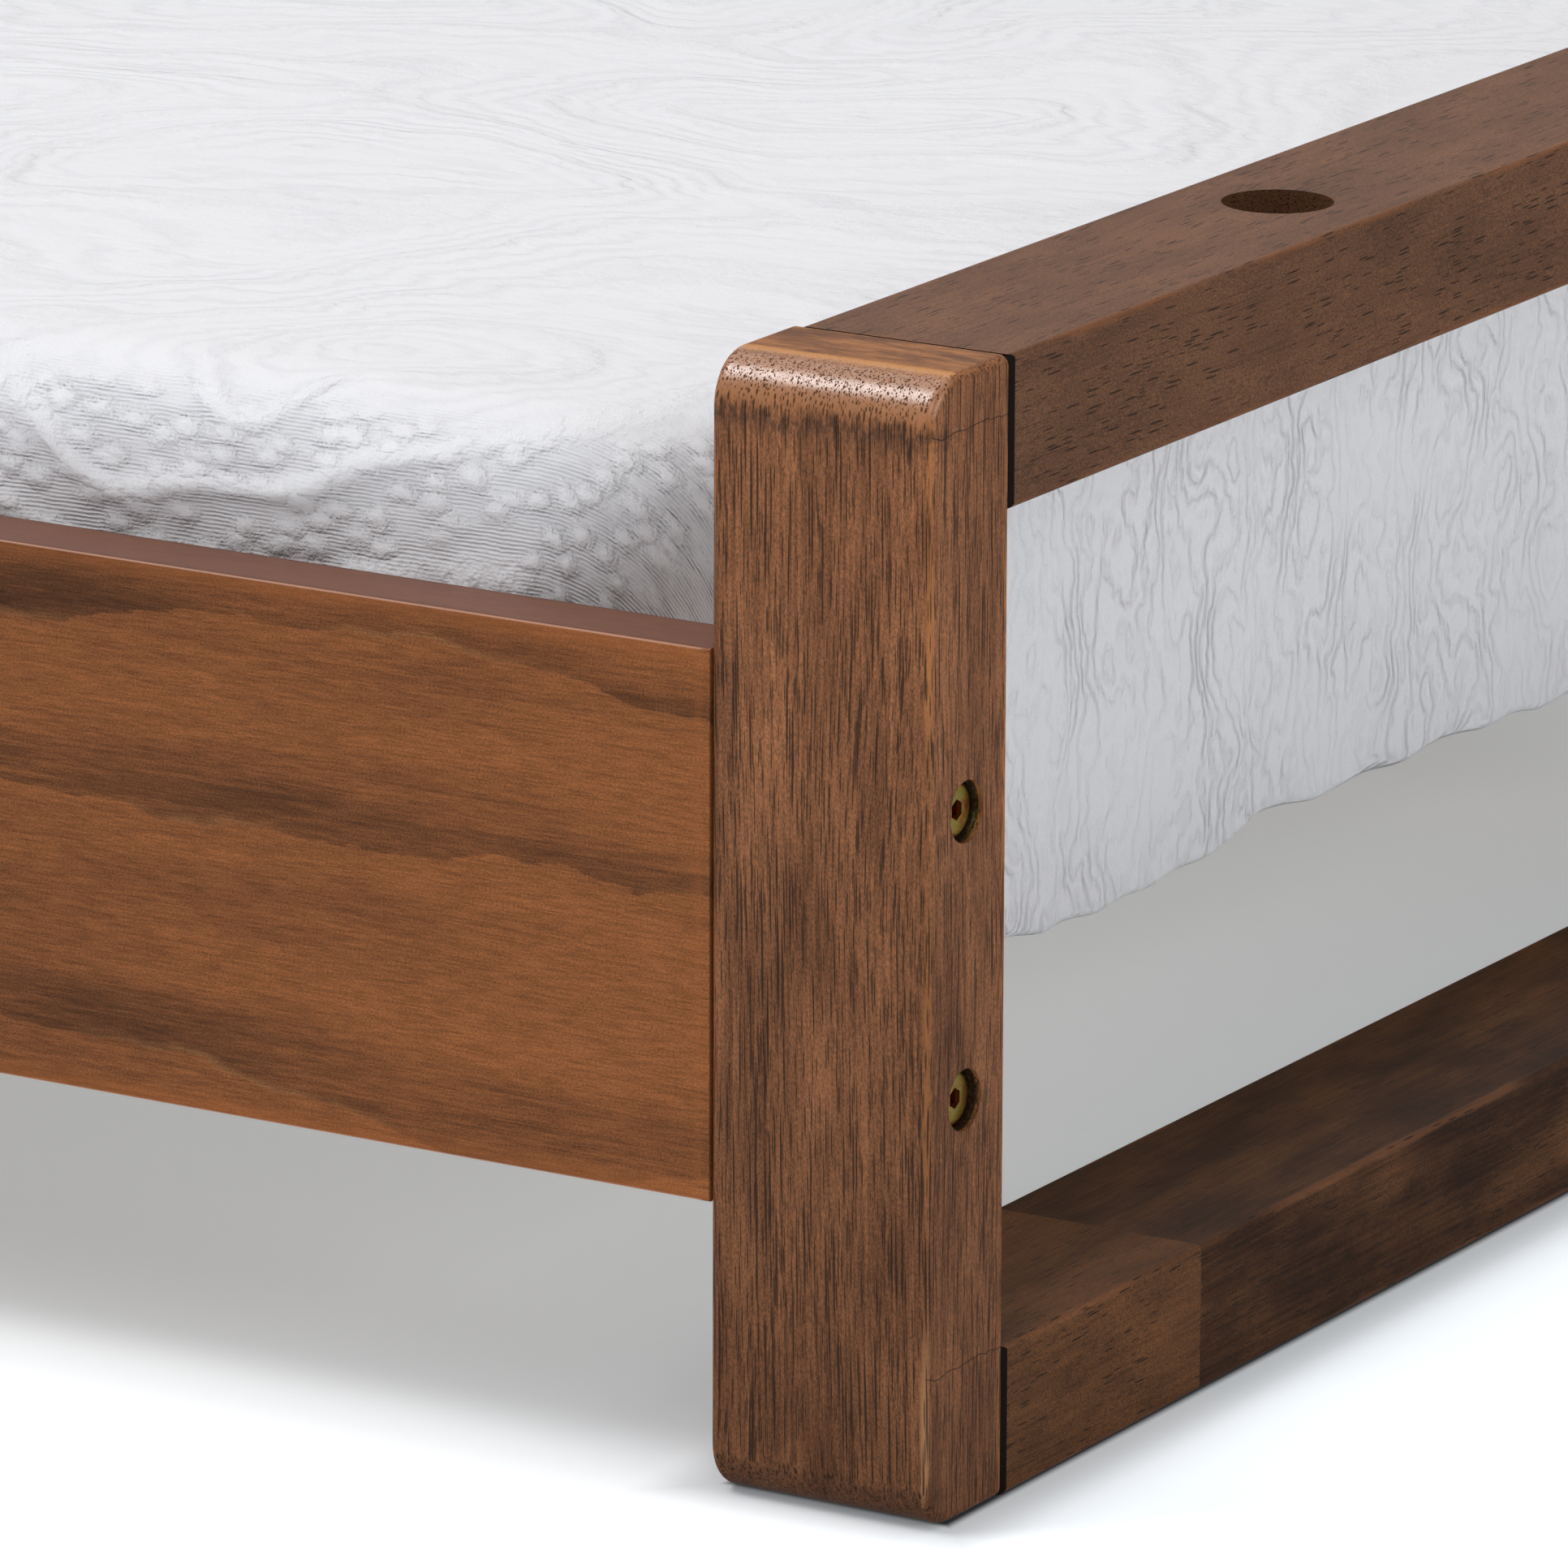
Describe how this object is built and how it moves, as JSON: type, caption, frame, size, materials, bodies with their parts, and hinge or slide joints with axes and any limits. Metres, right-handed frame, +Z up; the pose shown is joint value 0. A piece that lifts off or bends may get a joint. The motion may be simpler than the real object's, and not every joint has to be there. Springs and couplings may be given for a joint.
{
  "type": "platform bed",
  "caption": "Low platform bed with open bar-frame footboard and headboard, side rails, slatted base, and a mattress under a white coverlet.",
  "frame": {"origin": "on the floor, in the middle of the bed's length and width", "axes": "+X across the bed, +Y from the footboard to the headboard, +Z up"},
  "size_m": [1.59, 2.206, 0.96],
  "materials": {
    "dark_hardwood": "dark walnut-brown stained hardwood, satin lacquer",
    "rail_wood": "orange-brown stained flat-sawn board, satin lacquer",
    "platform_wood": "plain planed softwood",
    "dowel_beech": "plain turned beech",
    "yellow_zinc": "yellow-passivated zinc plating",
    "bright_zinc": "bright zinc plating",
    "glide_plastic": "natural nylon",
    "mattress_ticking": "white woven ticking",
    "coverlet_cotton": "white matelasse cotton with raised scrollwork"
  },
  "bodies": {
    "frame": {"barrel_nuts": "bright_zinc", "center_beam": "platform_wood", "center_leg_foot": "platform_wood", "center_leg_head": "platform_wood", "center_leg_middle": "platform_wood", "foot_dowels": "dowel_beech", "foot_floor_bar": "dark_hardwood", "foot_post_left": "dark_hardwood", "foot_post_right": "dark_hardwood", "foot_top_bar": "dark_hardwood", "head_board_1": "dark_hardwood", "head_board_2": "dark_hardwood", "head_board_3": "dark_hardwood", "head_dowels": "dowel_beech", "head_floor_bar": "dark_hardwood", "head_post_left": "dark_hardwood", "head_post_right": "dark_hardwood", "head_top_bar": "dark_hardwood", "ledger_left": "platform_wood", "ledger_right": "platform_wood", "ledger_screws": "bright_zinc", "leg_glides": "glide_plastic", "leg_hanger_bolts": "bright_zinc", "rail_block_foot_left": "platform_wood", "rail_block_foot_right": "platform_wood", "rail_block_head_left": "platform_wood", "rail_block_head_right": "platform_wood", "rail_bolts": "yellow_zinc", "side_rail_left": "rail_wood", "side_rail_right": "rail_wood", "slat_01": "platform_wood", "slat_02": "platform_wood", "slat_03": "platform_wood", "slat_04": "platform_wood", "slat_05": "platform_wood", "slat_06": "platform_wood", "slat_07": "platform_wood", "slat_08": "platform_wood", "slat_09": "platform_wood", "slat_10": "platform_wood", "slat_11": "platform_wood", "slat_12": "platform_wood", "slat_13": "platform_wood", "slat_screws": "bright_zinc"},
    "bedding": {"coverlet": "coverlet_cotton", "mattress": "mattress_ticking"}
  },
  "joints": [
    {"name": "bedding_lift", "type": "slide", "parent": "frame", "child": "bedding", "axis": [0, 0, 1], "range_m": [0, 0.5]}
  ]
}
